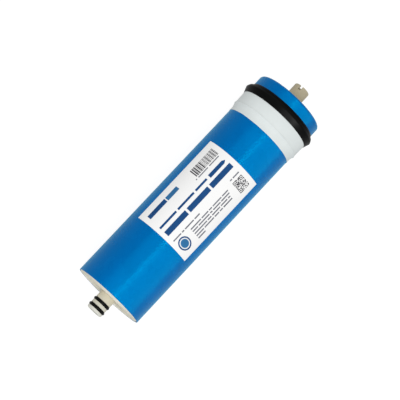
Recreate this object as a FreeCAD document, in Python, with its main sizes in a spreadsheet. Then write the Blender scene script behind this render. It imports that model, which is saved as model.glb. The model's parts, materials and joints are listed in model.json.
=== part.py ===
"""Spiral-wound reverse osmosis element, 3012 size class.

Lengths are in millimetres. Every piece is drawn in one local frame whose X axis is the
tube's axis and whose X = 0 is the tip of the O-ring spigot, so all stations are counted
from that tip. Each piece is then moved back by half the overall length, which puts the
row's origin at the middle of the element. +X leads to the closed, slotted end, +Z to the
middle of the label.
"""
import FreeCAD
import Part
import math
import os
import re
import Sketcher

V = FreeCAD.Vector
X_AXIS = V(1, 0, 0)
Y_AXIS = V(0, 1, 0)

SIZES = [
    # along the axis
    ("spigot_length", 20.5),
    ("roll_length", 259.2),
    ("stub_length", 18.3),
    # permeate tube
    ("tube_od", 17.0),
    ("tube_bore", 10.0),
    ("core_relief", 0.25),
    ("tip_chamfer", 0.8),
    ("web_depth", 9.0),
    ("web_thickness", 3.0),
    ("slot_width", 3.0),
    ("slot_depth", 4.8),
    ("slot_turn", 16.0),
    ("drain_hole", 3.0),
    ("drain_count", 12),
    ("drain_margin", 24.0),
    # O-rings and their grooves
    ("ring_cord", 3.1),
    ("ring_od", 18.6),
    ("ring_station", 4.35),
    ("ring_spacing", 6.75),
    ("ring_seat_gap", 0.05),
    ("groove_side_gap", 0.2),
    # the winding
    ("leaf_count", 3),
    ("membrane_thickness", 0.15),
    ("spacer_thickness", 0.6),
    ("carrier_thickness", 0.25),
    ("sheet_gap", 0.02),
    ("winding_gap", 0.1),
    ("front_recess", 0.05),
    # blue outer wrap
    ("wrap_od", 75.0),
    ("wrap_wall", 0.45),
    ("wrap_curl", 3.0),
    ("wrap_front_round", 0.3),
    # brine seal: stations along it, then heights above its seat on the wrap
    ("seal_foot_setback", 12.0),
    ("seal_width", 11.6),
    ("seal_lead", 6.1),
    ("seal_lip_reach", 2.6),
    ("seal_groove_depth", 4.1),
    ("seal_foot_bevel", 1.6),
    ("seal_sleeve_length", 15.6),
    ("seal_nose", 1.5),
    ("seal_nose_height", 0.2),
    ("seal_sleeve_height", 1.05),
    ("seal_shoulder_height", 1.4),
    ("seal_step_height", 0.45),
    ("seal_ridge_height", 4.3),
    ("seal_ridge_round", 1.5),
    ("seal_heel_height", 1.2),
    ("seal_foot_height", 0.3),
    ("seal_groove_end", 0.5),
    ("seal_groove_mouth", 1.35),
    ("seal_lip_edge", 0.5),
    # tapes and label
    ("skin_gap", 0.05),
    ("band_wall", 0.15),
    ("band_width", 23.3),
    ("band_flat", 4.6),
    ("label_station", 92.2),
    ("label_length", 101.5),
    ("label_width", 69.5),
    ("label_wall", 0.15),
]

# Angle between neighbouring corners of the wound sheets, which are laid in short flats.
WINDING_STEP = 10.0
# Share of one flat that the fold of a membrane leaf takes up at the tube.
FOLD_SHARE = 0.2
# What a full rounding leaves of the face beside it, so that the face doesn't vanish.
ROUND_SLACK = 0.01

doc = FreeCAD.newDocument("ro_membrane_element")
sheet = doc.addObject("Spreadsheet::Sheet", "Sizes")


def fill_sheet():
    for row, (alias, value) in enumerate(SIZES, start=1):
        sheet.set(f"A{row}", alias)
        sheet.set(f"B{row}", str(value))
        sheet.setAlias(f"B{row}", alias)
    doc.recompute()


def cell(expression):
    """An expression of size names as an object of the document writes it."""
    return re.sub(r"[a-z]\w*", r"Sizes.\g<0>", expression)


def size(expression):
    """The number that an expression of size names gives now."""
    return float(sheet.evalExpression(cell(expression)))


# Stations and radii that several pieces share.
ROLL_START = "spigot_length"
ROLL_END = "(spigot_length + roll_length)"
OVERALL = "(spigot_length + roll_length + stub_length)"
TUBE_R = "tube_od / 2"
BORE_R = "tube_bore / 2"
WRAP_R = "wrap_od / 2"
SEAT_R = f"({WRAP_R} + skin_gap)"
SEAL_FOOT = f"({ROLL_END} - seal_foot_setback)"
SEAL_SHOULDER = f"({SEAL_FOOT} - seal_width)"
SEAL_RIDGE = f"({SEAL_SHOULDER} + seal_lead)"
SHOULDER_R = f"({SEAT_R} + seal_shoulder_height)"
SLEEVE_START = f"({SEAL_SHOULDER} - seal_sleeve_length)"
NOSE_END = f"({SLEEVE_START} + seal_nose)"
WEB_END = f"({OVERALL} - web_depth)"
CORE_R = f"({TUBE_R} - core_relief)"
WINDING_START = f"({ROLL_START} + front_recess)"
WINDING_END = f"({ROLL_END} - wrap_curl)"


def set_home(piece):
    """Move a piece from the tip's frame to the row's frame."""
    piece.setExpression("Placement.Base.x", cell(f"-{OVERALL} / 2"))


def new_body(name):
    body = doc.addObject("PartDesign::Body", name)
    body.Label = name
    set_home(body)
    return body


def new_sketch(body, name, role):
    sketch = body.newObject("Sketcher::SketchObject", name)
    plane = next(f for f in body.Origin.OriginFeatures if f.Role == role)
    sketch.AttachmentSupport = [(plane, "")]
    sketch.MapMode = "FlatFace"
    return sketch


def hold_point(sketch, edge, end, axis, expression):
    """Hold one end of a sketch line at a signed distance from the origin."""
    if expression == "0":
        line = -2 if axis == "X" else -1
        sketch.addConstraint(Sketcher.Constraint("PointOnObject", edge, end, line))
        return
    kind = "Distance" + axis
    index = sketch.addConstraint(
        Sketcher.Constraint(kind, -1, 1, edge, end, size(expression)))
    sketch.setExpression(f"Constraints[{index}]", cell(expression))


def draw_outline(sketch, corners):
    """Closed outline through corners, each a pair of expressions."""
    points = [V(size(x), size(y), 0) for x, y in corners]
    count = len(points)
    for i in range(count):
        sketch.addGeometry(Part.LineSegment(points[i], points[(i + 1) % count]), False)
    for i in range(count):
        sketch.addConstraint(
            Sketcher.Constraint("Coincident", i, 2, (i + 1) % count, 1))
    for i, (x, y) in enumerate(corners):
        hold_point(sketch, i, 1, "X", x)
        hold_point(sketch, i, 1, "Y", y)


def turned_body(name, corners, role="XY_Plane"):
    """Solid of revolution about the tube's axis from (station, radius) corners."""
    body = new_body(name)
    sketch = new_sketch(body, name + "_section", role)
    draw_outline(sketch, corners)
    turned = body.newObject("PartDesign::Revolution", name + "_turned")
    turned.Profile = sketch
    turned.ReferenceAxis = (sketch, ["H_Axis"])
    turned.Angle = 360
    body.Tip = turned
    doc.recompute()
    return body


def rims(feature, station, radius):
    """Names of a feature's circular edges at a station and radius."""
    names = []
    for i, edge in enumerate(feature.Shape.Edges, start=1):
        curve = edge.Curve
        if not isinstance(curve, Part.Circle):
            continue
        if abs(curve.Center.x - size(station)) < 0.01 and abs(curve.Radius - size(radius)) < 0.01:
            names.append(f"Edge{i}")
    return names


def round_rim(body, name, station, radius, round_radius):
    base = body.Tip
    fillet = body.newObject("PartDesign::Fillet", name)
    fillet.Base = (base, rims(base, station, radius))
    fillet.setExpression("Radius", cell(round_radius))
    body.Tip = fillet
    doc.recompute()


def cut_through(body, sketch, name):
    """Pocket a sketch right through the body, both ways from its plane."""
    before = body.Tip.Shape.Volume
    pocket = body.newObject("PartDesign::Pocket", name)
    pocket.Profile = sketch
    pocket.Type = 1
    pocket.Midplane = True
    body.Tip = pocket
    doc.recompute()
    assert pocket.Shape.Volume < before, name + " removed nothing"
    return pocket


# ---------------------------------------------------------------- permeate tube

def ring_groove(station):
    """Corners of one O-ring groove in the tube's outline."""
    half = "(ring_cord / 2 + groove_side_gap)"
    floor = "(ring_od / 2 - ring_cord - ring_seat_gap)"
    return [
        (f"{station} - {half}", TUBE_R),
        (f"{station} - {half}", floor),
        (f"{station} + {half}", floor),
        (f"{station} + {half}", TUBE_R),
    ]


def tube_outline():
    """Tube and its lands. The middle is relieved, so that only the ends are fitted."""
    corners = [
        ("0", BORE_R),
        ("0", f"{TUBE_R} - tip_chamfer"),
        ("tip_chamfer", TUBE_R),
    ]
    corners += ring_groove("ring_station")
    corners += ring_groove("ring_station + ring_spacing")
    corners += [
        (f"{WINDING_START} - winding_gap", TUBE_R),
        (f"{WINDING_START} - winding_gap", CORE_R),
        (f"{WINDING_END} + winding_gap", CORE_R),
        (f"{WINDING_END} + winding_gap", TUBE_R),
        (f"{OVERALL} - tip_chamfer", TUBE_R),
        (OVERALL, f"{TUBE_R} - tip_chamfer"),
        (OVERALL, BORE_R),
        (WEB_END, BORE_R),
        (WEB_END, "0"),
        (f"{WEB_END} - web_thickness", "0"),
        (f"{WEB_END} - web_thickness", BORE_R),
    ]
    return corners


def drill_row(body, name, role, first_station, pitch):
    """One row of drain holes, each drilled through both walls."""
    sketch = new_sketch(body, name + "_hole", role)
    centre = V(size(first_station), 0, 0)
    sketch.addGeometry(Part.Circle(centre, V(0, 0, 1), size("drain_hole / 2")), False)
    hold_point(sketch, 0, 3, "X", first_station)
    hold_point(sketch, 0, 3, "Y", "0")
    index = sketch.addConstraint(Sketcher.Constraint("Radius", 0, size("drain_hole / 2")))
    sketch.setExpression(f"Constraints[{index}]", cell("drain_hole / 2"))
    hole = cut_through(body, sketch, name + "_first")
    row = body.newObject("PartDesign::LinearPattern", name)
    row.Originals = [hole]
    row.Direction = (sketch, ["H_Axis"])
    row.setExpression("Length", cell(f"{pitch} * (drain_count - 1)"))
    row.setExpression("Occurrences", cell("drain_count"))
    body.Tip = row
    doc.recompute()


def cut_rim_slot(body):
    """Slot across the closed end's rim, turned from +Z towards +Y."""
    sketch = new_sketch(body, "slot_section", "XY_Plane")
    sketch.AttachmentOffset = FreeCAD.Placement(
        V(0, 0, 0), FreeCAD.Rotation(V(-1, 0, 0), size("slot_turn")))
    sketch.setExpression("AttachmentOffset.Rotation.Angle", cell("slot_turn"))
    draw_outline(sketch, [
        (f"{OVERALL} - slot_depth", "-slot_width / 2"),
        (f"{OVERALL} + slot_depth", "-slot_width / 2"),
        (f"{OVERALL} + slot_depth", "slot_width / 2"),
        (f"{OVERALL} - slot_depth", "slot_width / 2"),
    ])
    cut_through(body, sketch, "rim_slot")


def make_tube():
    body = turned_body("permeate_tube", tube_outline())
    pitch = "(roll_length - 2 * drain_margin) / (drain_count - 0.5)"
    first = f"{ROLL_START} + drain_margin"
    drill_row(body, "drains_z", "XY_Plane", first, pitch)
    drill_row(body, "drains_y", "XZ_Plane", f"{first} + {pitch} / 2", pitch)
    cut_rim_slot(body)
    return body


def make_ring(name, station):
    ring = doc.addObject("Part::Torus", name)
    ring.Label = name
    ring.setExpression("Radius1", cell("(ring_od - ring_cord) / 2"))
    ring.setExpression("Radius2", cell("ring_cord / 2"))
    ring.Placement = FreeCAD.Placement(V(0, 0, 0), FreeCAD.Rotation(Y_AXIS, 90))
    ring.setExpression("Placement.Base.x", cell(f"{station} - {OVERALL} / 2"))
    return ring


# ---------------------------------------------------------------- the winding

class Winding:
    """Stack of sheets wound round the tube, with the leaves spaced evenly round it."""

    def __init__(self):
        self.leaves = int(round(size("leaf_count")))
        self.gap = size("sheet_gap")
        self.membrane = size("membrane_thickness")
        self.spacer = size("spacer_thickness")
        self.carrier = size("carrier_thickness")
        self.stack = 2 * self.membrane + self.spacer + self.carrier + 4 * self.gap
        self.pitch = self.leaves * self.stack
        self.start_radius = size(f"{CORE_R} + winding_gap")
        outer = size(f"{WRAP_R} - wrap_wall - winding_gap")
        turns = (outer - self.start_radius - self.stack) / self.pitch
        self.last = int(turns * 360 / WINDING_STEP)
        self.front = size(WINDING_START)
        self.length = size(WINDING_END) - self.front

    def corner(self, leaf, index, offset):
        """Corner number index of a wound sheet, on its ray from the axis."""
        angle = 360.0 * leaf / self.leaves + index * WINDING_STEP
        radius = self.start_radius + self.pitch * index * WINDING_STEP / 360 + offset
        turn = math.radians(angle)
        return V(0, radius * math.cos(turn), radius * math.sin(turn))

    def at_fold(self, leaf, offset):
        """Point on the first flat where the fold ends."""
        first = self.corner(leaf, 0, offset)
        return first + (self.corner(leaf, 1, offset) - first) * FOLD_SHARE

    def line(self, leaf, offset):
        """Corners of a sheet's face from the first flat's end to the outer end."""
        return [self.corner(leaf, i, offset) for i in range(1, self.last + 1)]

    def extrude(self, outline):
        moved = [point + X_AXIS * self.front for point in outline]
        face = Part.Face(Part.makePolygon(moved + moved[:1]))
        return face.extrude(X_AXIS * self.length)

    def carrier_outline(self, leaf):
        inner = [self.corner(leaf, 0, 0)] + self.line(leaf, 0)
        outer = [self.corner(leaf, 0, self.carrier)] + self.line(leaf, self.carrier)
        return inner + outer[::-1]

    def membrane_outline(self, leaf):
        """Both arms of a leaf and the fold that joins them at the tube."""
        arm_a = self.carrier + self.gap
        inside = arm_a + self.membrane
        outside = inside + self.spacer + 2 * self.gap
        arm_b = outside + self.membrane
        under = [self.corner(leaf, 0, arm_a)] + self.line(leaf, arm_a)
        slit_a = [self.at_fold(leaf, inside)] + self.line(leaf, inside)
        slit_b = [self.at_fold(leaf, outside)] + self.line(leaf, outside)
        over = [self.corner(leaf, 0, arm_b)] + self.line(leaf, arm_b)
        return under + slit_a[::-1] + slit_b + over[::-1]

    def spacer_outline(self, leaf):
        low = self.carrier + self.membrane + 2 * self.gap
        high = low + self.spacer
        inner = self.line(leaf, low)
        outer = self.line(leaf, high)
        return inner + outer[::-1]


def wound_piece(name, winding, outline):
    piece = doc.addObject("Part::Feature", name)
    piece.Label = name
    piece.Shape = winding.extrude(outline)
    piece.Placement = FreeCAD.Placement(V(-size(f"{OVERALL} / 2"), 0, 0), FreeCAD.Rotation())
    return piece


def make_winding():
    winding = Winding()
    pieces = []
    for leaf in range(winding.leaves):
        number = leaf + 1
        pieces.append(wound_piece(
            f"membrane_leaf_{number}", winding, winding.membrane_outline(leaf)))
        pieces.append(wound_piece(
            f"feed_spacer_{number}", winding, winding.spacer_outline(leaf)))
        pieces.append(wound_piece(
            f"permeate_carrier_{number}", winding, winding.carrier_outline(leaf)))
    return pieces


# ---------------------------------------------------------------- skins and seal

def make_wrap():
    """Blue tape sleeve, curled in over the roll at the closed end."""
    inner = f"({WRAP_R} - wrap_wall)"
    curl_in = f"({WRAP_R} - wrap_curl)"
    body = turned_body("outer_wrap", [
        (ROLL_START, inner),
        (ROLL_START, WRAP_R),
        (ROLL_END, WRAP_R),
        (ROLL_END, curl_in),
        (f"{ROLL_END} - wrap_wall", curl_in),
        (f"{ROLL_END} - wrap_wall", inner),
    ])
    inner_curl = f"wrap_curl - wrap_wall - {ROUND_SLACK}"
    round_rim(body, "curl_outside", ROLL_END, WRAP_R, f"wrap_curl - {ROUND_SLACK}")
    round_rim(body, "curl_inside", f"{ROLL_END} - wrap_wall", inner, inner_curl)
    round_rim(body, "front_edge", ROLL_START, WRAP_R, "wrap_front_round")
    return body


def make_seal():
    """Rubber ring with a sleeve, a hump and a lip that opens to the closed end."""
    lip_tip = f"({SEAL_RIDGE} + seal_lip_reach)"
    groove_end = f"({lip_tip} - seal_groove_depth)"
    heel_r = f"({SEAT_R} + seal_heel_height)"
    lip_under_r = f"({heel_r} + seal_groove_mouth)"
    ridge_r = f"({SEAT_R} + seal_ridge_height)"
    body = turned_body("brine_seal", [
        (SLEEVE_START, SEAT_R),
        (SLEEVE_START, f"{SEAT_R} + seal_nose_height"),
        (NOSE_END, f"{SEAT_R} + seal_sleeve_height"),
        (SEAL_SHOULDER, SHOULDER_R),
        (SEAL_SHOULDER, f"{SHOULDER_R} + skin_gap + band_wall + seal_step_height"),
        (SEAL_RIDGE, ridge_r),
        (lip_tip, f"{lip_under_r} + seal_lip_edge"),
        (lip_tip, lip_under_r),
        (groove_end, f"{heel_r} + seal_groove_end"),
        (groove_end, heel_r),
        (f"{SEAL_FOOT} - seal_foot_bevel", heel_r),
        (SEAL_FOOT, f"{SEAT_R} + seal_foot_height"),
        (SEAL_FOOT, SEAT_R),
    ])
    round_rim(body, "ridge_round", SEAL_RIDGE, ridge_r, "seal_ridge_round")
    return body


def make_band():
    """White tape that starts on the blue wrap and climbs over the seal's sleeve."""
    start = f"({SEAL_SHOULDER} - band_width)"
    climb = f"({start} + band_flat)"
    end = f"({SEAL_SHOULDER} - skin_gap)"
    top_r = f"({SEAT_R} + seal_sleeve_height + skin_gap)"
    end_r = f"({SHOULDER_R} + skin_gap)"
    return turned_body("seal_band", [
        (start, SEAT_R),
        (start, f"{SEAT_R} + band_wall"),
        (climb, f"{SEAT_R} + band_wall"),
        (NOSE_END, f"{top_r} + band_wall"),
        (end, f"{end_r} + band_wall"),
        (end, end_r),
        (NOSE_END, top_r),
        (climb, SEAT_R),
    ])


def make_label():
    """Thin sheet that follows the wrap's roundness, centred on +Z."""
    body = turned_body("label", [
        ("label_station", SEAT_R),
        ("label_station", f"{SEAT_R} + label_wall"),
        ("label_station + label_length", f"{SEAT_R} + label_wall"),
        ("label_station + label_length", SEAT_R),
    ], role="XZ_Plane")
    body.Tip.Midplane = True
    # The label's width is measured round the wrap, and 57.2958 is one radian in degrees.
    body.Tip.setExpression("Angle", cell(f"label_width / {SEAT_R} * 57.29578"))
    return body


def make_element():
    fill_sheet()
    pieces = [
        make_tube(),
        make_ring("o_ring_tip", "ring_station"),
        make_ring("o_ring_inner", "ring_station + ring_spacing"),
    ]
    pieces += make_winding()
    pieces += [make_wrap(), make_label(), make_seal(), make_band()]
    doc.recompute()
    return pieces


def check_document():
    for item in doc.Objects:
        assert not {"Invalid", "Error"} & set(item.State), item.Name + " has a fault"


def write_parts(pieces):
    os.makedirs("parts", exist_ok=True)
    for piece in pieces:
        shape = piece.Shape
        assert not shape.isNull() and shape.isValid(), piece.Label + " is not a sound solid"
        shape.exportStep(f"parts/{piece.Label}.step")
        print(piece.Label, "volume", round(shape.Volume, 1), "mm3")


element = make_element()
check_document()
write_parts(element)
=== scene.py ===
"""Looks of a wound membrane element.

Surfaces, relief of the wrap and the seal's tape, cut ends of the winding, label print,
camera, light and floor. Lengths are in metres, and the element's axis is X.
"""

import json
import math
import random

import bmesh
import bpy
from mathutils import Matrix, Vector, noise

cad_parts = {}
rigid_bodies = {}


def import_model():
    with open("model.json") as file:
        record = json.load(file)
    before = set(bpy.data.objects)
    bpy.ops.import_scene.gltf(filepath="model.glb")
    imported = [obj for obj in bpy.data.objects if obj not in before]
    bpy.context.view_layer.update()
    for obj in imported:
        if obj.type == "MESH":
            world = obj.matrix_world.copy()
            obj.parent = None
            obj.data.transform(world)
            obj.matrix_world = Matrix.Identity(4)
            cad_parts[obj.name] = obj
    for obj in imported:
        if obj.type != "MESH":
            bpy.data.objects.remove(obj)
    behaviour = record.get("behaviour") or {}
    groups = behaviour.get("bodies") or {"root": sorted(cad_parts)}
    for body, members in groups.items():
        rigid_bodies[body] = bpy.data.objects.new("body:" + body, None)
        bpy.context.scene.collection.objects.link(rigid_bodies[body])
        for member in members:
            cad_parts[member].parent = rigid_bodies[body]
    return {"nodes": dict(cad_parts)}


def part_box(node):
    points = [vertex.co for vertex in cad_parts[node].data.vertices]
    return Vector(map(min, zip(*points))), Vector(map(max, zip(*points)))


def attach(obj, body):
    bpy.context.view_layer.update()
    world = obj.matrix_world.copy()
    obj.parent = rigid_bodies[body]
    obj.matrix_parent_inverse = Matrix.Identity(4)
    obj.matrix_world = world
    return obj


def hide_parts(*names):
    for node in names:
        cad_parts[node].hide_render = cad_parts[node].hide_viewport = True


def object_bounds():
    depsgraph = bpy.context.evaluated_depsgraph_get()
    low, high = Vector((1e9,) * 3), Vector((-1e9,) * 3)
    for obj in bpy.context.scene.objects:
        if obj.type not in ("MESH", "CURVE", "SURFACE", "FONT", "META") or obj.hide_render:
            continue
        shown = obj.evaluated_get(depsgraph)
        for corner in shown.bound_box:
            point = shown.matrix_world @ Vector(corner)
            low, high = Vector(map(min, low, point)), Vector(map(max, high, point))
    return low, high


for old in list(bpy.data.objects):
    bpy.data.objects.remove(old)
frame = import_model()
cad_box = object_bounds()

MM = 0.001
MERGE_REACH = 0.0001 * MM
nodes = frame["nodes"]
scene = bpy.context.scene

WRAP_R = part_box("outer_wrap")[1].y
LABEL_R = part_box("label")[1].z
TUBE_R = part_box("permeate_tube")[1].y
BAND_START, BAND_END = (corner.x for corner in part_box("seal_band"))
SEAL_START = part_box("brine_seal")[0].x
WRAP_START, WRAP_END = (corner.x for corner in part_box("outer_wrap"))
WINDING_START, WINDING_END = (corner.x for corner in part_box("feed_spacer_1"))


# ---------------------------------------------------------------- materials

class Paint:
    """A node material on one Principled shader."""

    def __init__(self, name, **plain):
        self.material = bpy.data.materials.new(name)
        self.material.use_nodes = True
        self.tree = self.material.node_tree
        self.shader = self.tree.nodes["Principled BSDF"]
        for socket, value in plain.items():
            self.shader.inputs[socket.replace("_", " ")].default_value = value

    def add(self, kind, sockets=None, **settings):
        """Adds a node; sockets maps an input's name or number to a value or to another node's output."""
        node = self.tree.nodes.new("ShaderNode" + kind)
        for key, value in settings.items():
            setattr(node, key, value)
        for key, value in (sockets or {}).items():
            if isinstance(value, bpy.types.NodeSocket):
                self.tree.links.new(value, node.inputs[key])
            else:
                node.inputs[key].default_value = value
        return node

    def feed(self, socket, output):
        self.tree.links.new(output, self.shader.inputs[socket])

    def math(self, operation, a, b=0.0):
        return self.add("Math", {0: a, 1: b}, operation=operation).outputs[0]

    def place(self):
        """The surface point in metres."""
        return self.add("TexCoord").outputs["Object"]

    def unrolled(self, radius):
        """The surface of that radius round X laid flat, as (along, round, out) in metres."""
        x, y, z = self.add("SeparateXYZ", {0: self.place()}).outputs
        angle = self.math("ARCTAN2", y, z)
        squares = self.math("ADD", self.math("MULTIPLY", y, y), self.math("MULTIPLY", z, z))
        out = self.math("SQRT", squares)
        around = self.math("MULTIPLY", angle, radius)
        return self.add("CombineXYZ", {0: x, 1: around, 2: out}).outputs[0]

    def along(self):
        return self.add("SeparateXYZ", {0: self.place()}).outputs[0]

    def scaled(self, vector, along, around, out):
        return self.add("VectorMath", {0: vector, 1: (along, around, out)}, operation="MULTIPLY").outputs[0]

    def noise(self, vector, grain, detail=3.0, roughness=0.5):
        """Noise whose largest features are about grain across."""
        sockets = {"Vector": vector, "Scale": 1.0 / grain, "Detail": detail, "Roughness": roughness}
        return self.add("TexNoise", sockets).outputs["Fac"]

    def spread(self, value, low, high, out_low=0.0, out_high=1.0):
        return self.add("MapRange", {0: value, 1: low, 2: high, 3: out_low, 4: out_high}).outputs[0]

    def ramp(self, value, *stops):
        """Colour steps, each (position, colour)."""
        node = self.add("ValToRGB", {0: value})
        steps = node.color_ramp.elements
        while len(steps) < len(stops):
            steps.new(1.0)
        for step, (position, colour) in zip(steps, stops):
            step.position, step.color = position, (*colour, 1.0)
        return node.outputs[0]

    def times(self, a, b):
        return self.add("Mix", {0: 1.0, 6: a, 7: b}, data_type="RGBA", blend_type="MULTIPLY").outputs[2]

    def bump(self, *layers):
        """Layers of (height output, depth in metres), each on top of the one before."""
        normal = None
        for height, depth in layers:
            sockets = {"Height": height, "Strength": 1.0, "Distance": depth}
            if normal:
                sockets["Normal"] = normal
            normal = self.add("Bump", sockets).outputs[0]
        self.feed("Normal", normal)


def shade(colour, factor):
    return tuple(min(1.0, channel * factor) for channel in colour)


def tape_paint():
    """Glossy blue film with a fine skin and faint clouding."""
    paint = Paint("wrap_tape", IOR=1.28, Specular_Tint=(0.0, 0.9, 1.0, 1.0), Sheen_Weight=0.5,
                  Sheen_Roughness=0.4, Sheen_Tint=(0.0, 0.7, 1.0, 1.0))
    flat = paint.unrolled(WRAP_R)
    cloud = paint.noise(flat, 22 * MM, 4.0)
    streak = paint.noise(paint.scaled(flat, 0.05, 1.0, 1.0), 1.5 * MM, 3.0)
    skin = paint.noise(flat, 0.6 * MM, 2.0)
    blue = (0.0, 0.131, 0.438)
    tone = paint.ramp(cloud, (0.3, shade(blue, 0.965)), (0.7, shade(blue, 1.035)))
    fine = paint.ramp(streak, (0.3, (0.985, 0.985, 0.985)), (0.7, (1.0, 1.0, 1.0)))
    paint.feed("Base Color", paint.times(tone, fine))
    paint.feed("Roughness", paint.spread(cloud, 0.3, 0.7, 0.24, 0.31))
    paint.bump((streak, 0.004 * MM), (skin, 0.004 * MM))
    return paint.material


def paper_paint():
    """Coated white paper with a fine fibre mottle."""
    paint = Paint("label_paper", IOR=1.45, Specular_IOR_Level=0.12)
    flat = paint.unrolled(LABEL_R)
    fibre = paint.noise(paint.scaled(flat, 1.0, 1.6, 1.0), 1.1 * MM, 4.0, 0.65)
    cloud = paint.noise(flat, 16 * MM)
    white = (0.96, 0.96, 0.955)
    paint.feed("Base Color", paint.ramp(cloud, (0.3, shade(white, 0.985)), (0.7, white)))
    paint.feed("Roughness", paint.spread(fibre, 0.3, 0.7, 0.42, 0.52))
    paint.bump((fibre, 0.006 * MM))
    return paint.material


def band_paint():
    """White adhesive tape with a matt, finely crinkled backing."""
    paint = Paint("band_tape", IOR=1.45, Specular_IOR_Level=0.12)
    flat = paint.unrolled(WRAP_R)
    crinkle = paint.noise(paint.scaled(flat, 0.3, 1.0, 0.3), 1.6 * MM, 3.0, 0.55)
    cloud = paint.noise(flat, 14 * MM, 4.0)
    grain = paint.noise(flat, 0.7 * MM, 2.0)
    white = (0.75, 0.80, 0.795)
    paint.feed("Base Color", paint.ramp(cloud, (0.3, shade(white, 0.97)), (0.7, shade(white, 1.02))))
    paint.feed("Roughness", paint.spread(grain, 0.3, 0.7, 0.38, 0.5))
    paint.bump((crinkle, 0.02 * MM), (grain, 0.005 * MM))
    return paint.material


def rubber_paint(name, radius, level):
    """Black moulded rubber: a fine grain, faint bloom and rubbed patches."""
    paint = Paint(name, IOR=1.5, Specular_IOR_Level=level)
    flat = paint.unrolled(radius)
    bloom = paint.noise(paint.scaled(flat, 1.0, 0.35, 1.0), 6 * MM, 5.0, 0.6)
    grain = paint.noise(flat, 0.4 * MM, 2.0)
    black = (0.0016, 0.0018, 0.0018)
    paint.feed("Base Color", paint.ramp(bloom, (0.35, black), (0.8, shade(black, 2.2))))
    paint.feed("Roughness", paint.spread(bloom, 0.3, 0.75, 0.24, 0.36))
    paint.bump((grain, 0.005 * MM), (bloom, 0.02 * MM))
    return paint.material


def tube_paint():
    """Cream moulded plastic, with painted light and shade along its length: painted lighter at the spigot's
    tip and painted darker and browner towards the closed stub.
    """
    paint = Paint("tube_plastic", IOR=1.47, Specular_IOR_Level=0.2)
    flat = paint.unrolled(TUBE_R)
    cloud = paint.noise(flat, 8 * MM, 4.0)
    skin = paint.noise(flat, 0.7 * MM, 2.0)
    length = cad_box[1].x - cad_box[0].x
    # Painted light and shade: the colour runs along X from a lighter spigot tip to a darker, browner closed
    # stub, standing in for how light falls on the tube.
    share = paint.spread(paint.along(), cad_box[0].x, cad_box[1].x)
    tone = paint.ramp(share, (0.0, (0.75, 0.75, 0.69)), (5 * MM / length, (0.69, 0.68, 0.59)),
                      (18 * MM / length, (0.74, 0.69, 0.54)), (0.9, (0.53, 0.47, 0.33)))
    mottle = paint.ramp(cloud, (0.3, (0.94, 0.94, 0.93)), (0.7, (1.0, 1.0, 1.0)))
    paint.feed("Base Color", paint.times(tone, mottle))
    paint.feed("Roughness", paint.spread(cloud, 0.3, 0.7, 0.36, 0.46))
    paint.bump((skin, 0.004 * MM), (cloud, 0.03 * MM))
    return paint.material


def sheet_paint(name, colour, grain, roughness):
    """Cut edges and faces of one kind of sheet in the winding."""
    paint = Paint(name, IOR=1.45)
    fibre = paint.noise(paint.place(), grain, 4.0, 0.7)
    cloud = paint.noise(paint.place(), 11 * MM)
    paint.feed("Base Color", paint.ramp(fibre, (0.3, shade(colour, 0.86)), (0.65, shade(colour, 1.05))))
    paint.feed("Roughness", paint.spread(cloud, 0.3, 0.7, roughness - 0.06, roughness + 0.06))
    paint.bump((fibre, 0.04 * MM))
    return paint.material


def ink_paint(name, colour):
    """Printing ink with a slightly uneven film."""
    paint = Paint(name, IOR=1.45, Specular_IOR_Level=0.12)
    flat = paint.unrolled(LABEL_R)
    speck = paint.noise(flat, 0.8 * MM)
    cloud = paint.noise(flat, 11 * MM, 2.0)
    paint.feed("Base Color", paint.ramp(cloud, (0.3, shade(colour, 0.9)), (0.7, shade(colour, 1.12))))
    paint.feed("Roughness", paint.spread(speck, 0.3, 0.7, 0.36, 0.46))
    paint.bump((speck, 0.003 * MM))
    return paint.material


FINISHES = {
    "wrap_tape": tape_paint(),
    "label_paper": paper_paint(),
    "band_tape": band_paint(),
    "seal_rubber": rubber_paint("seal_rubber", 40 * MM, 0.06),
    "ring_rubber": rubber_paint("ring_rubber", 9 * MM, 0.12),
    "tube_plastic": tube_paint(),
    "membrane_film": sheet_paint("membrane_film", (0.92, 0.90, 0.80), 2.5 * MM, 0.5),
    "spacer_net": sheet_paint("spacer_net", (0.90, 0.89, 0.80), 2.0 * MM, 0.4),
    "carrier_cloth": sheet_paint("carrier_cloth", (0.90, 0.87, 0.76), 1.2 * MM, 0.7),
}
for node in nodes.values():
    for place in node.material_slots:
        place.material = FINISHES[place.material.name.split(".")[0]]


# ---------------------------------------------------------------- making pieces

def new_piece(name, mesh, material):
    """A closed piece on the one body, with its faces turned outwards."""
    work = bmesh.new()
    work.from_mesh(mesh)
    bmesh.ops.remove_doubles(work, verts=work.verts, dist=MERGE_REACH)
    bmesh.ops.recalc_face_normals(work, faces=work.faces)
    work.to_mesh(mesh)
    work.free()
    mesh.materials.clear()
    mesh.materials.append(material)
    piece = bpy.data.objects.new(name, mesh)
    scene.collection.objects.link(piece)
    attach(piece, "root")
    return piece


def smooth(mesh, limit_degrees):
    for face in mesh.polygons:
        face.use_smooth = True
    mesh.set_sharp_from_angle(angle=math.radians(limit_degrees))


def ring_point(x, radius, angle):
    """A point round the X axis; the angle starts at +Z and turns towards +Y."""
    return (x, radius * math.sin(angle), radius * math.cos(angle))


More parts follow.
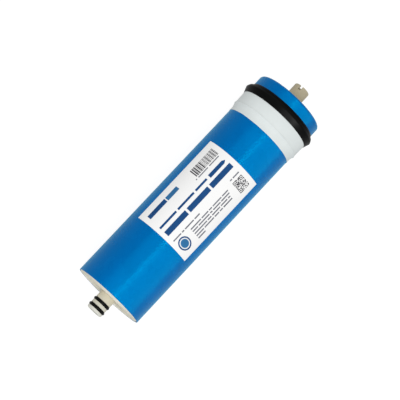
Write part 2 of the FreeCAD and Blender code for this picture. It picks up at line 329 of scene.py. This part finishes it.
def turned(name, outline, angles, relief, material, replaced):
    """A ring swept round X from a closed outline of (x, radius, outer share).

    Points with an outer share are moved along and outwards by relief.
    """
    verts, faces = [], []
    rows, columns = len(outline), len(angles)
    for angle in angles:
        for x, radius, outer in outline:
            dx, dr = relief(x, radius, angle) if outer else (0.0, 0.0)
            verts.append(ring_point(x + dx * outer, radius + dr * outer, angle))
    for j in range(columns):
        k = (j + 1) % columns
        for i in range(rows):
            n = (i + 1) % rows
            faces.append((j * rows + i, j * rows + n, k * rows + n, k * rows + i))
    mesh = bpy.data.meshes.new(name)
    mesh.from_pydata(verts, [], faces)
    smooth(mesh, SHARP_EDGE)
    piece = new_piece(name, mesh, material)
    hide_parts(replaced)
    return piece


def wander(x, angle, radius, grain_along, grain_around, seed):
    """Smooth noise from -1 to 1 on a surface round X, without a seam."""
    y, z = radius * math.sin(angle), radius * math.cos(angle)
    return noise.noise(Vector((x / grain_along + seed, y / grain_around, z / grain_around)))


def steps(start, end, count):
    return [start + (end - start) * i / count for i in range(count + 1)]


# ---------------------------------------------------------------- blue wrap

WRAP_WALL = 0.45 * MM
WRAP_CURL = 3.0 * MM
WRAP_ROUND = 0.3 * MM
FILM = 0.09 * MM
LAP_ANGLE = math.radians(207)
WRAP_COLUMNS = 420
WAVE_DEPTH, FINE_DEPTH = 0.018 * MM, 0.008 * MM
PLEATS = 74
PLEAT_LEAD = 1.2 * MM
PLEAT_DEPTH, PLEAT_PULL = 0.16 * MM, 0.10 * MM
SHARP_EDGE = 32


def lap_angles(lap, count, width=0.0012):
    """Evenly spaced angles that start and end close together on either side of a lap."""
    return [lap + width * 0.5 + (2 * math.pi - width) * i / count for i in range(count + 1)]


def lap_share(angle, lap):
    """How far round from the lap an angle is, from 0 to 1."""
    return ((angle - lap) % (2 * math.pi)) / (2 * math.pi)


def make_wrap():
    """The blue film: one wall, rounded at the spigot's end and curled in at the far end."""
    curl_x = WRAP_END - WRAP_CURL
    outline = [(WRAP_START, WRAP_R - WRAP_WALL, 0)]
    for turn in steps(math.pi / 2, 0, 4):
        outline.append((WRAP_START + WRAP_ROUND * (1 - math.sin(turn)),
                        WRAP_R - WRAP_ROUND * (1 - math.cos(turn)), 1))
    outline += [(x, WRAP_R, 1) for x in steps(WRAP_START + WRAP_ROUND, curl_x, 64)[1:]]
    for turn in steps(0, math.pi / 2, 12)[1:]:
        outline.append((curl_x + WRAP_CURL * math.sin(turn), WRAP_R - WRAP_CURL * (1 - math.cos(turn)), 1))
    inner = WRAP_CURL - WRAP_WALL
    for turn in steps(math.pi / 2, 0, 10):
        outline.append((curl_x + inner * math.sin(turn), WRAP_R - WRAP_CURL + inner * math.cos(turn), 1))
    outline += [(x, WRAP_R - WRAP_WALL, 0) for x in steps(curl_x, WRAP_START, 20)[1:-1]]
    draw = random.Random(5)
    pleats = [(2 * math.pi * (i + draw.uniform(-0.35, 0.35)) / PLEATS, draw.uniform(0.35, 1.0),
               draw.uniform(0.008, 0.02)) for i in range(PLEATS)]

    def relief(x, radius, angle):
        sag = FILM * (1 - lap_share(angle, LAP_ANGLE))
        wave = WAVE_DEPTH * (wander(x, angle, radius, 90 * MM, 9 * MM, 3.1) - 1)
        fine = FINE_DEPTH * (wander(x, angle, radius, 14 * MM, 3 * MM, 8.7) - 1)
        gather = max(0.0, (x - curl_x + PLEAT_LEAD) / (WRAP_CURL + PLEAT_LEAD))
        fold = 0.0
        if gather > 0:
            for at, depth, width in pleats:
                away = abs((angle - at + math.pi) % (2 * math.pi) - math.pi)
                if away < 4 * width:
                    fold += depth * math.exp(-(away / width) ** 2)
        dip = fold * gather ** 1.5
        return -PLEAT_PULL * dip, -sag + wave + fine - PLEAT_DEPTH * dip

    return turned("wrap_film", outline, lap_angles(LAP_ANGLE, WRAP_COLUMNS), relief,
                  FINISHES["wrap_tape"], "outer_wrap")


wrap_film = make_wrap()

# ---------------------------------------------------------------- white band

BAND_WALL = 0.15 * MM
BAND_FLAT = 4.6 * MM
SKIN_GAP = 0.05 * MM
BAND_LAP = math.radians(163)
BAND_COLUMNS = 360
BAND_OVERLAP, OVERLAP_SHARE = 0.12 * MM, 0.06
TOP_RISE, END_RISE = 1.1 * MM, 1.45 * MM
CREASE_HEIGHT, CREASE_HALF, CREASE_DRIFT = 0.6 * MM, 0.8 * MM, 0.3 * MM
PUCKER_HEIGHT, PUCKER_HALF = 0.09 * MM, 3.2 * MM
ROLL_HEIGHT = 0.02 * MM
EDGE_SHIFT, EDGE_DEPTH = 0.22 * MM, 2 * MM


def make_band():
    """The seal's white tape: flat on the wrap, then up a ramp and over the seal's sleeve."""
    seat = WRAP_R + SKIN_GAP
    climb = BAND_START + BAND_FLAT
    top_x = SEAL_START + 1.5 * MM
    top_r, end_r = seat + TOP_RISE, seat + END_RISE

    def base(x):
        if x <= climb:
            return seat
        if x <= top_x:
            share = (x - climb) / (top_x - climb)
            return seat + (top_r - seat) * share
        return top_r + (end_r - top_r) * (x - top_x) / (BAND_END - top_x)

    stations = steps(BAND_START, climb, 8)
    stations += steps(climb, top_x, 18)[1:] + steps(top_x, BAND_END, 48)[1:]
    outline = [(x, base(x) + BAND_WALL, 1) for x in stations]
    outline += [(x, base(x), 0) for x in (BAND_END, top_x, climb)] + [(BAND_START, seat, 1)]
    crease_x = top_x + 0.2 * MM

    def relief(x, radius, angle):
        lap = lap_share(angle, BAND_LAP)
        over = BAND_OVERLAP * max(0.0, 1 - lap / OVERLAP_SHARE)
        drift = CREASE_DRIFT * wander(0, angle, radius, 1, 18 * MM, 4.4)
        strength = 0.8 + 0.5 * wander(0, angle, radius, 1, 11 * MM, 1.2)
        crease = CREASE_HEIGHT * math.exp(-((x - crease_x - drift) / CREASE_HALF) ** 2) * strength
        near_ramp = math.exp(-((x - 0.5 * (climb + top_x)) / PUCKER_HALF) ** 2)
        pucker = PUCKER_HEIGHT * near_ramp * (0.4 + wander(x, angle, radius, 9 * MM, 2.4 * MM, 6.6))
        roll = ROLL_HEIGHT * (1 + wander(x, angle, radius, 25 * MM, 6 * MM, 2.2))
        edge = max(0.0, 1 - (x - BAND_START) / EDGE_DEPTH)
        shift = EDGE_SHIFT * edge * (1 + wander(0, angle, radius, 1, 9 * MM, 7.5))
        if radius <= seat:
            return shift, 0.0
        return shift, max(-ROLL_HEIGHT, over + crease + pucker + roll)

    return turned("seal_tape", outline, lap_angles(BAND_LAP, BAND_COLUMNS), relief,
                  FINISHES["band_tape"], "seal_band")


make_band()

# ---------------------------------------------------------------- cut ends of the winding

NET_RECESS = 0.3 * MM
STRAND_PITCH = 1.6 * MM
STRAND_HALF = (0.15 * MM, 0.2 * MM)
STRAND_SIDES = 6
LAYER_OFFSET = 0.14 * MM
STRAND_TILT = 0.45 * MM
STRAND_ROOT = 0.25 * MM
END_GRAIN = 7 * MM


def ray_radii(node):
    """For each ray of a wound sheet, its angle and the middle radii of its turns."""
    start = min(v.co.x for v in node.data.vertices)
    rays = {}
    for v in node.data.vertices:
        if v.co.x - start < 0.01 * MM:
            angle = round(math.degrees(math.atan2(v.co.y, v.co.z)), 1) % 360
            rays.setdefault(angle, set()).add(round(math.hypot(v.co.y, v.co.z), 6))
    found = []
    for angle in sorted(rays):
        radii = sorted(rays[angle])
        middles = [(a + b) / 2 for a, b in zip(radii[::2], radii[1::2])]
        found.append((math.radians(angle), middles))
    return found


def sheet_flats(node):
    """The straight flats of a wound sheet's middle line, each from one ray to the next."""
    rays = ray_radii(node)
    flats = []
    for (a, here), (b, there) in zip(rays, rays[1:] + rays[:1]):
        if abs((b - a + math.pi) % (2 * math.pi) - math.pi) > math.radians(11):
            continue
        for radius in here:
            near = min(there, key=lambda other: abs(other - radius), default=None)
            if near is not None and abs(near - radius) < 0.5 * MM:
                flats.append((Vector(ring_point(0, radius, a)), Vector(ring_point(0, near, b))))
    return flats


def add_strand(verts, faces, inner, outer, across, along):
    """One closed strand of oval section between two points."""
    start = len(verts)
    for centre in (inner, outer):
        for i in range(STRAND_SIDES):
            turn = 2 * math.pi * i / STRAND_SIDES
            verts.append(tuple(centre + across * (STRAND_HALF[0] * math.cos(turn))
                               + along * (STRAND_HALF[1] * math.sin(turn))))
    ring = range(STRAND_SIDES)
    faces += [(start + i, start + (i + 1) % STRAND_SIDES, start + STRAND_SIDES + (i + 1) % STRAND_SIDES,
               start + STRAND_SIDES + i) for i in ring]
    faces.append(tuple(start + i for i in ring))
    faces.append(tuple(start + STRAND_SIDES + i for i in ring))


def cut_back(node, recess, unevenness, seed):
    """A copy of a wound sheet whose two cut ends lie a little back, unevenly."""
    mesh = node.data.copy()
    low, high = (corner.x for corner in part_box(node.name))
    for v in mesh.vertices:
        side = 1 if v.co.x < 0 else -1
        spot = Vector((seed * side, v.co.y / END_GRAIN, v.co.z / END_GRAIN))
        back = recess + unevenness * noise.noise(spot)
        v.co.x = (low if side > 0 else high) + side * max(0.0, back)
    return mesh


def make_net(number):
    """A net sheet with cut strands of its two crossed layers standing at both ends."""
    node = nodes[f"feed_spacer_{number}"]
    mesh = cut_back(node, NET_RECESS, 0.1 * MM, number)
    verts, faces = [], []
    draw = random.Random(number)
    for end, inward in ((WINDING_START, 1), (WINDING_END, -1)):
        reach, layer = 0.0, 1
        for here, there in sheet_flats(node):
            run = there - here
            length = run.length
            along = run / length
            across = Vector((1, 0, 0)).cross(along)
            while reach < length:
                middle = here + along * reach + across * (LAYER_OFFSET * layer)
                tilt = along * (STRAND_TILT * layer)
                jitter = draw.uniform(-0.06, 0.1) * MM
                outer = middle + Vector((end + inward * max(0.0, jitter), 0, 0))
                inner = middle + tilt + Vector((end + inward * (NET_RECESS + STRAND_ROOT), 0, 0))
                add_strand(verts, faces, inner, outer, across, along)
                reach += STRAND_PITCH * draw.uniform(0.85, 1.15)
                layer = -layer
            reach -= length
    strands = bpy.data.meshes.new("strands")
    strands.from_pydata(verts, [], faces)
    both = bmesh.new()
    both.from_mesh(mesh)
    both.from_mesh(strands)
    both.to_mesh(mesh)
    both.free()
    piece = new_piece(f"net_{number}", mesh, FINISHES["spacer_net"])
    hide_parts(node.name)


def make_sheet(kind, number, slot_name, recess, unevenness):
    node = nodes[f"{kind}_{number}"]
    mesh = cut_back(node, recess, unevenness, 10 + number)
    piece = new_piece(f"{kind}_{number}_cut", mesh, FINISHES[slot_name])
    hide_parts(node.name)


for leaf in (1, 2, 3):
    make_net(leaf)
    make_sheet("membrane_leaf", leaf, "membrane_film", 0.03 * MM, 0.08 * MM)
    make_sheet("permeate_carrier", leaf, "carrier_cloth", 0.14 * MM, 0.10 * MM)

# ---------------------------------------------------------------- label print

LABEL_MIDDLE = sum(corner.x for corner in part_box("label")) / 2
INK_RISE = 0.02 * MM
INK_ROOT = 0.02 * MM
NAVY = ink_paint("ink_navy", (0.010, 0.070, 0.22))
SKY = ink_paint("ink_sky", (0.035, 0.17, 0.38))
GREY = ink_paint("ink_grey", (0.20, 0.21, 0.24))
BLACK = ink_paint("ink_black", (0.03, 0.03, 0.04))
WHITE = ink_paint("ink_white", (0.85, 0.87, 0.88))


def bar(x0, x1, y0, y1):
    """A straight-sided bar as rows; all places are in mm from the label's middle."""
    count = max(1, math.ceil((y1 - y0) / 1.2))
    return [(y, x0, x1) for y in steps(y0, y1, count)]


def disc(x, y, radius, count=22):
    """A round patch as rows."""
    rows = []
    for turn in steps(-math.pi / 2, math.pi / 2, count):
        half = max(0.05, radius * math.cos(turn))
        rows.append((y + radius * math.sin(turn), x - half, x + half))
    return rows


def pointed(x0, x1, y0, y1, tip, count=10):
    """A bar whose right end runs out to a point."""
    middle, half = (y0 + y1) / 2, (y1 - y0) / 2
    return [(y, x0, x1 - tip * abs(y - middle) / half) for y in steps(y0, y1, count)]


def printed(name, shapes, ink, layer=1):
    """Thin closed print on the label; a shape is rows of (height across, left end, right end)."""
    verts, faces = [], []
    top, bottom = LABEL_R + INK_RISE * layer, LABEL_R - INK_ROOT
    for rows in shapes:
        start, count = len(verts), len(rows)
        for y, left, right in rows:
            angle = math.asin(y * MM / LABEL_R)
            for radius in (bottom, top):
                verts += [ring_point(LABEL_MIDDLE + x * MM, radius, angle) for x in (left, right)]
        for i in range(count - 1):
            a, b = start + 4 * i, start + 4 * i + 4
            faces += [(a + 2, a + 3, b + 3, b + 2), (a, b, b + 1, a + 1),
                      (a, a + 2, b + 2, b), (a + 1, b + 1, b + 3, a + 3)]
        last = start + 4 * (count - 1)
        faces += [(start, start + 1, start + 3, start + 2), (last, last + 2, last + 3, last + 1)]
    mesh = bpy.data.meshes.new(name)
    mesh.from_pydata(verts, [], faces)
    return new_piece(name, mesh, ink)


def words(x0, x1, y0, y1, widths, gap):
    """A line of plain blocks with gaps, cut off at x1; it stands for a line of text and says nothing."""
    shapes, x, i = [], x0, 0
    while x < x1 - 0.6:
        end = min(x1, x + widths[i % len(widths)])
        shapes.append(bar(x, end, y0, y1))
        x, i = end + gap, i + 1
    return shapes


def stripes(x0, x1, y0, y1, module, seed):
    """Upright bars of one to three modules with gaps between; they encode nothing."""
    draw, shapes, x = random.Random(seed), [], x0
    while x < x1:
        width = draw.choice((1, 1, 2, 3)) * module
        shapes.append(bar(x, min(x1, x + width), y0, y1))
        x += width + draw.choice((1, 1, 2)) * module
    return shapes


ROW_SHARE = 0.999


def matrix(x0, y0, side, count, seed):
    """A square of dark cells with a framed square in three corners; it encodes nothing."""
    draw, cell, shapes = random.Random(seed), side / count, []
    corner = 6

    def framed(i, j):
        for ci, cj in ((0, 0), (0, count - corner), (count - corner, count - corner)):
            if 0 <= i - ci < corner and 0 <= j - cj < corner:
                edge = min(i - ci, j - cj, corner - 1 - (i - ci), corner - 1 - (j - cj))
                return edge != 1
        return None

    for j in range(count):
        i = 0
        while i < count:
            run = 0
            while i + run < count:
                fixed = framed(i + run, j)
                dark = draw.random() < 0.5 if fixed is None else fixed
                if not dark:
                    break
                run += 1
            if run:
                left, low = x0 + i * cell, y0 + j * cell
                shapes.append(bar(left, x0 + (i + run) * cell, low, y0 + (j + 1) * cell * ROW_SHARE))
            i += run + 1
    return shapes


printed("print_name_place", [bar(-45.0, -21.6, 20.3, 24.4)], NAVY)
printed("print_name_place_end", [bar(-20.4, -4.9, 20.3, 24.4)], SKY)
printed("print_bars", stripes(14.4, 45.6, 16.2, 24.6, 0.42, 11), BLACK)
printed("print_bar_marks", words(11.6, 44.8, 14.0, 15.1, (1.4, 13.2, 13.2), 2.0), GREY)
printed("print_title_line", words(-46.1, 19.7, 6.8, 9.0, (22.6, 22.2, 15.6), 2.4), NAVY)
printed("print_flow_arrow", [pointed(22.4, 44.6, 5.7, 9.5, 3.0)], NAVY)
printed("print_headline", [bar(x, x + 28.8, -2.8, 2.8) for x in (-46.0, -14.8, 16.4)], NAVY)
printed("print_note_line", words(-46.1, -9.0, -10.3, -9.0, (10.5, 3.0, 12.0, 7.0), 1.3)
        + words(33.0, 45.2, -10.3, -9.0, (2.6, 8.4), 1.3), GREY)
printed("print_emblem_disc", [disc(-39.6, -18.7, 6.6)], NAVY)
printed("print_emblem_gap", [disc(-39.6, -18.7, 5.2)], WHITE, layer=2)
printed("print_emblem_core", [disc(-39.6, -18.7, 4.2)], SKY, layer=3)
lines = []
for row, (reach, widths) in enumerate(((25.7, (14, 9, 4, 12, 8)), (24.8, (7, 15, 3, 10, 12)),
                                       (23.4, (17, 5, 11, 9)), (24.8, (10, 13, 6, 4, 12)),
                                       (-16.6, (9.8,)))):
    y = -14.6 - 2.72 * row
    lines += words(-26.4, reach, y, y + 1.25, widths, 1.2)
printed("print_small_lines", lines, GREY)
printed("print_matrix", matrix(32.7, -25.3, 12.4, 19, 3), BLACK)

# ---------------------------------------------------------------- camera

CAMERA_AIM = Vector((-0.4, -1.15, 0.0)) * MM
CAMERA_STAND = Vector((-284.8, 0.4, 1823.3)) * MM
CAMERA_ROLL = math.radians(46.835)

camera_data = bpy.data.cameras.new("camera")
camera_data.lens = 172.16
camera_data.sensor_width = 36.0
camera_data.clip_start, camera_data.clip_end = 0.1, 20.0
camera = bpy.data.objects.new("camera", camera_data)
scene.collection.objects.link(camera)
back = (CAMERA_STAND - CAMERA_AIM).normalized()
level = (Vector((1, 0, 0)) - back * back.x).normalized()
across = back.cross(level)
right = level * math.cos(CAMERA_ROLL) - across * math.sin(CAMERA_ROLL)
up = level * math.sin(CAMERA_ROLL) + across * math.cos(CAMERA_ROLL)
camera.matrix_world = Matrix.Translation(CAMERA_STAND) @ Matrix((right, up, back)).transposed().to_4x4()
scene.camera = camera

# ---------------------------------------------------------------- light and floor


def panel(name, direction, distance, size, radiance, colour=(1, 1, 1), diffuse=True, lit=None):
    """A soft panel that faces the element's middle from that direction; its length lies along X.

    Without diffuse it adds gloss only, and with lit it reaches that one piece only.
    """
    lamp = bpy.data.lights.new(name, "AREA")
    lamp.shape = "RECTANGLE"
    lamp.size, lamp.size_y = size
    lamp.color = colour
    lamp.energy = radiance * math.pi * size[0] * size[1]
    light = bpy.data.objects.new(name, lamp)
    scene.collection.objects.link(light)
    facing = Vector(direction).normalized()
    length = (Vector((1, 0, 0)) - facing * facing.x).normalized()
    turn = Matrix((length, facing.cross(length), facing)).transposed().to_4x4()
    light.matrix_world = Matrix.Translation(facing * distance) @ turn
    light.visible_camera = False
    light.visible_diffuse = diffuse
    if lit:
        receivers = bpy.data.collections.new(name + "_lit")
        receivers.objects.link(lit)
        light.light_linking.receiver_collection = receivers


def empty_tree(owner):
    owner.use_nodes = True
    owner.node_tree.nodes.clear()
    return owner.node_tree


def add_node(tree, kind, **sockets):
    node = tree.nodes.new("ShaderNode" + kind)
    for key, value in sockets.items():
        node.inputs[key].default_value = value
    return node


def by_ray(tree, seen, unseen, output_kind):
    """Shows the camera one shader, and every other ray the other."""
    path, choose = add_node(tree, "LightPath"), add_node(tree, "MixShader")
    output = add_node(tree, output_kind)
    tree.links.new(path.outputs["Is Camera Ray"], choose.inputs[0])
    tree.links.new(unseen.outputs[0], choose.inputs[1])
    tree.links.new(seen.outputs[0], choose.inputs[2])
    tree.links.new(choose.outputs[0], output.inputs[0])


world = bpy.data.worlds.new("studio")
scene.world = world
tree = empty_tree(world)
soft = add_node(tree, "Background", Color=(1, 1, 1, 1), Strength=0.71)
white = add_node(tree, "Background", Color=(1, 1, 1, 1), Strength=1.0)
by_ray(tree, white, soft, "OutputWorld")

# The key lights everything. The others add gloss alone, each to one piece only, and the
# cyan of three of them lifts the tape's colour above what its material has by itself.
CYAN = (0.0, 0.88, 1.0)
panel("key", (-0.34, -0.26, 0.90), 2.2, (1.6, 1.2), 2.93)
panel("side_gloss", (0.0, -0.83, 0.56), 1.6, (3.0, 2.4), 5.2, CYAN, diffuse=False, lit=wrap_film)
panel("top_gloss", (0.155, 0.25, 0.95), 2.0, (3.0, 1.3), 3.4, CYAN, diffuse=False, lit=wrap_film)
panel("streak_gloss", (0.155, -0.24, 0.957), 2.0, (3.0, 0.22), 22.0, CYAN, diffuse=False, lit=wrap_film)
panel("seal_gloss", (-0.60, -0.61, 0.51), 1.6, (0.5, 0.22), 120.0, diffuse=False, lit=nodes["brine_seal"])

FLOOR_REACH = 6.0
floor_z = cad_box[0].z - 0.1 * MM
floor_mesh = bpy.data.meshes.new("floor")
corners = ((-1, -1), (1, -1), (1, 1), (-1, 1))
floor_mesh.from_pydata([(x * FLOOR_REACH, y * FLOOR_REACH, floor_z) for x, y in corners], [], [(0, 1, 2, 3)])
floor = bpy.data.objects.new("floor", floor_mesh)
scene.collection.objects.link(floor)
ground = bpy.data.materials.new("ground")
tree = empty_tree(ground)
matt = add_node(tree, "BsdfDiffuse", Color=(0.6, 0.6, 0.6, 1))
shown = add_node(tree, "BsdfDiffuse", Color=(0.2, 0.2, 0.2, 1))
glow = add_node(tree, "Emission", Strength=0.89)
both = add_node(tree, "AddShader")
tree.links.new(shown.outputs[0], both.inputs[0])
tree.links.new(glow.outputs[0], both.inputs[1])
by_ray(tree, both, matt, "OutputMaterial")
floor_mesh.materials.append(ground)

scene.view_settings.view_transform = "Standard"
